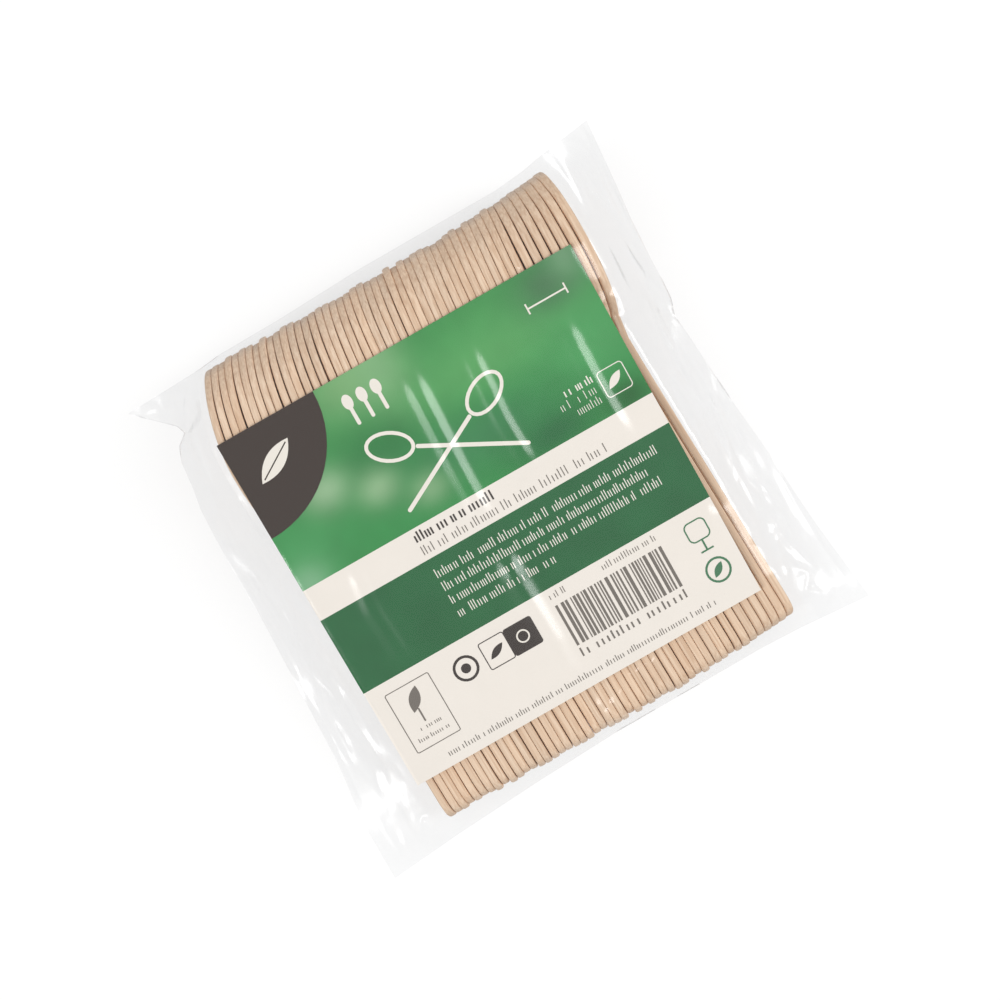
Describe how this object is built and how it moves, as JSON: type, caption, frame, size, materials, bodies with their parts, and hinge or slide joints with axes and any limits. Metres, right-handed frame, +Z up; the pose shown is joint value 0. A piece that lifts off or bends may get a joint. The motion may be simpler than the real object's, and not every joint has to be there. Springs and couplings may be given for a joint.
{
  "type": "wooden spoon pack",
  "caption": "Clear film bag that holds a close row of flat pressed wooden spoons standing on edge, under a square printed card.",
  "frame": {"origin": "bottom centre of the pack as it lies flat", "axes": "+X across the row of spoons, towards the end flap on the right in the picture, +Y along the spoons towards the bowls, +Z up out of the printed side"},
  "size_m": [0.1224, 0.1242, 0.0245],
  "materials": {
    "clear_film": "clear glossy packing film, slightly wrinkled",
    "printed_card": "smooth coated card printed with plain fields of colour",
    "spoon_wood": "bare pressed pale wood, smooth sawn edges"
  },
  "bodies": {
    "root": {"film_bag": "clear_film", "label_card": "printed_card", "spoon_01": "spoon_wood", "spoon_02": "spoon_wood", "spoon_03": "spoon_wood", "spoon_04": "spoon_wood", "spoon_05": "spoon_wood", "spoon_06": "spoon_wood", "spoon_07": "spoon_wood", "spoon_08": "spoon_wood", "spoon_09": "spoon_wood", "spoon_10": "spoon_wood", "spoon_11": "spoon_wood", "spoon_12": "spoon_wood", "spoon_13": "spoon_wood", "spoon_14": "spoon_wood", "spoon_15": "spoon_wood", "spoon_16": "spoon_wood", "spoon_17": "spoon_wood", "spoon_18": "spoon_wood", "spoon_19": "spoon_wood", "spoon_20": "spoon_wood", "spoon_21": "spoon_wood", "spoon_22": "spoon_wood", "spoon_23": "spoon_wood", "spoon_24": "spoon_wood", "spoon_25": "spoon_wood", "spoon_26": "spoon_wood", "spoon_27": "spoon_wood", "spoon_28": "spoon_wood", "spoon_29": "spoon_wood", "spoon_30": "spoon_wood", "spoon_31": "spoon_wood", "spoon_32": "spoon_wood", "spoon_33": "spoon_wood", "spoon_34": "spoon_wood", "spoon_35": "spoon_wood", "spoon_36": "spoon_wood", "spoon_37": "spoon_wood", "spoon_38": "spoon_wood", "spoon_39": "spoon_wood", "spoon_40": "spoon_wood", "spoon_41": "spoon_wood", "spoon_42": "spoon_wood", "spoon_43": "spoon_wood", "spoon_44": "spoon_wood", "spoon_45": "spoon_wood", "spoon_46": "spoon_wood", "spoon_47": "spoon_wood", "spoon_48": "spoon_wood", "spoon_49": "spoon_wood", "spoon_50": "spoon_wood"}
  },
  "joints": []
}
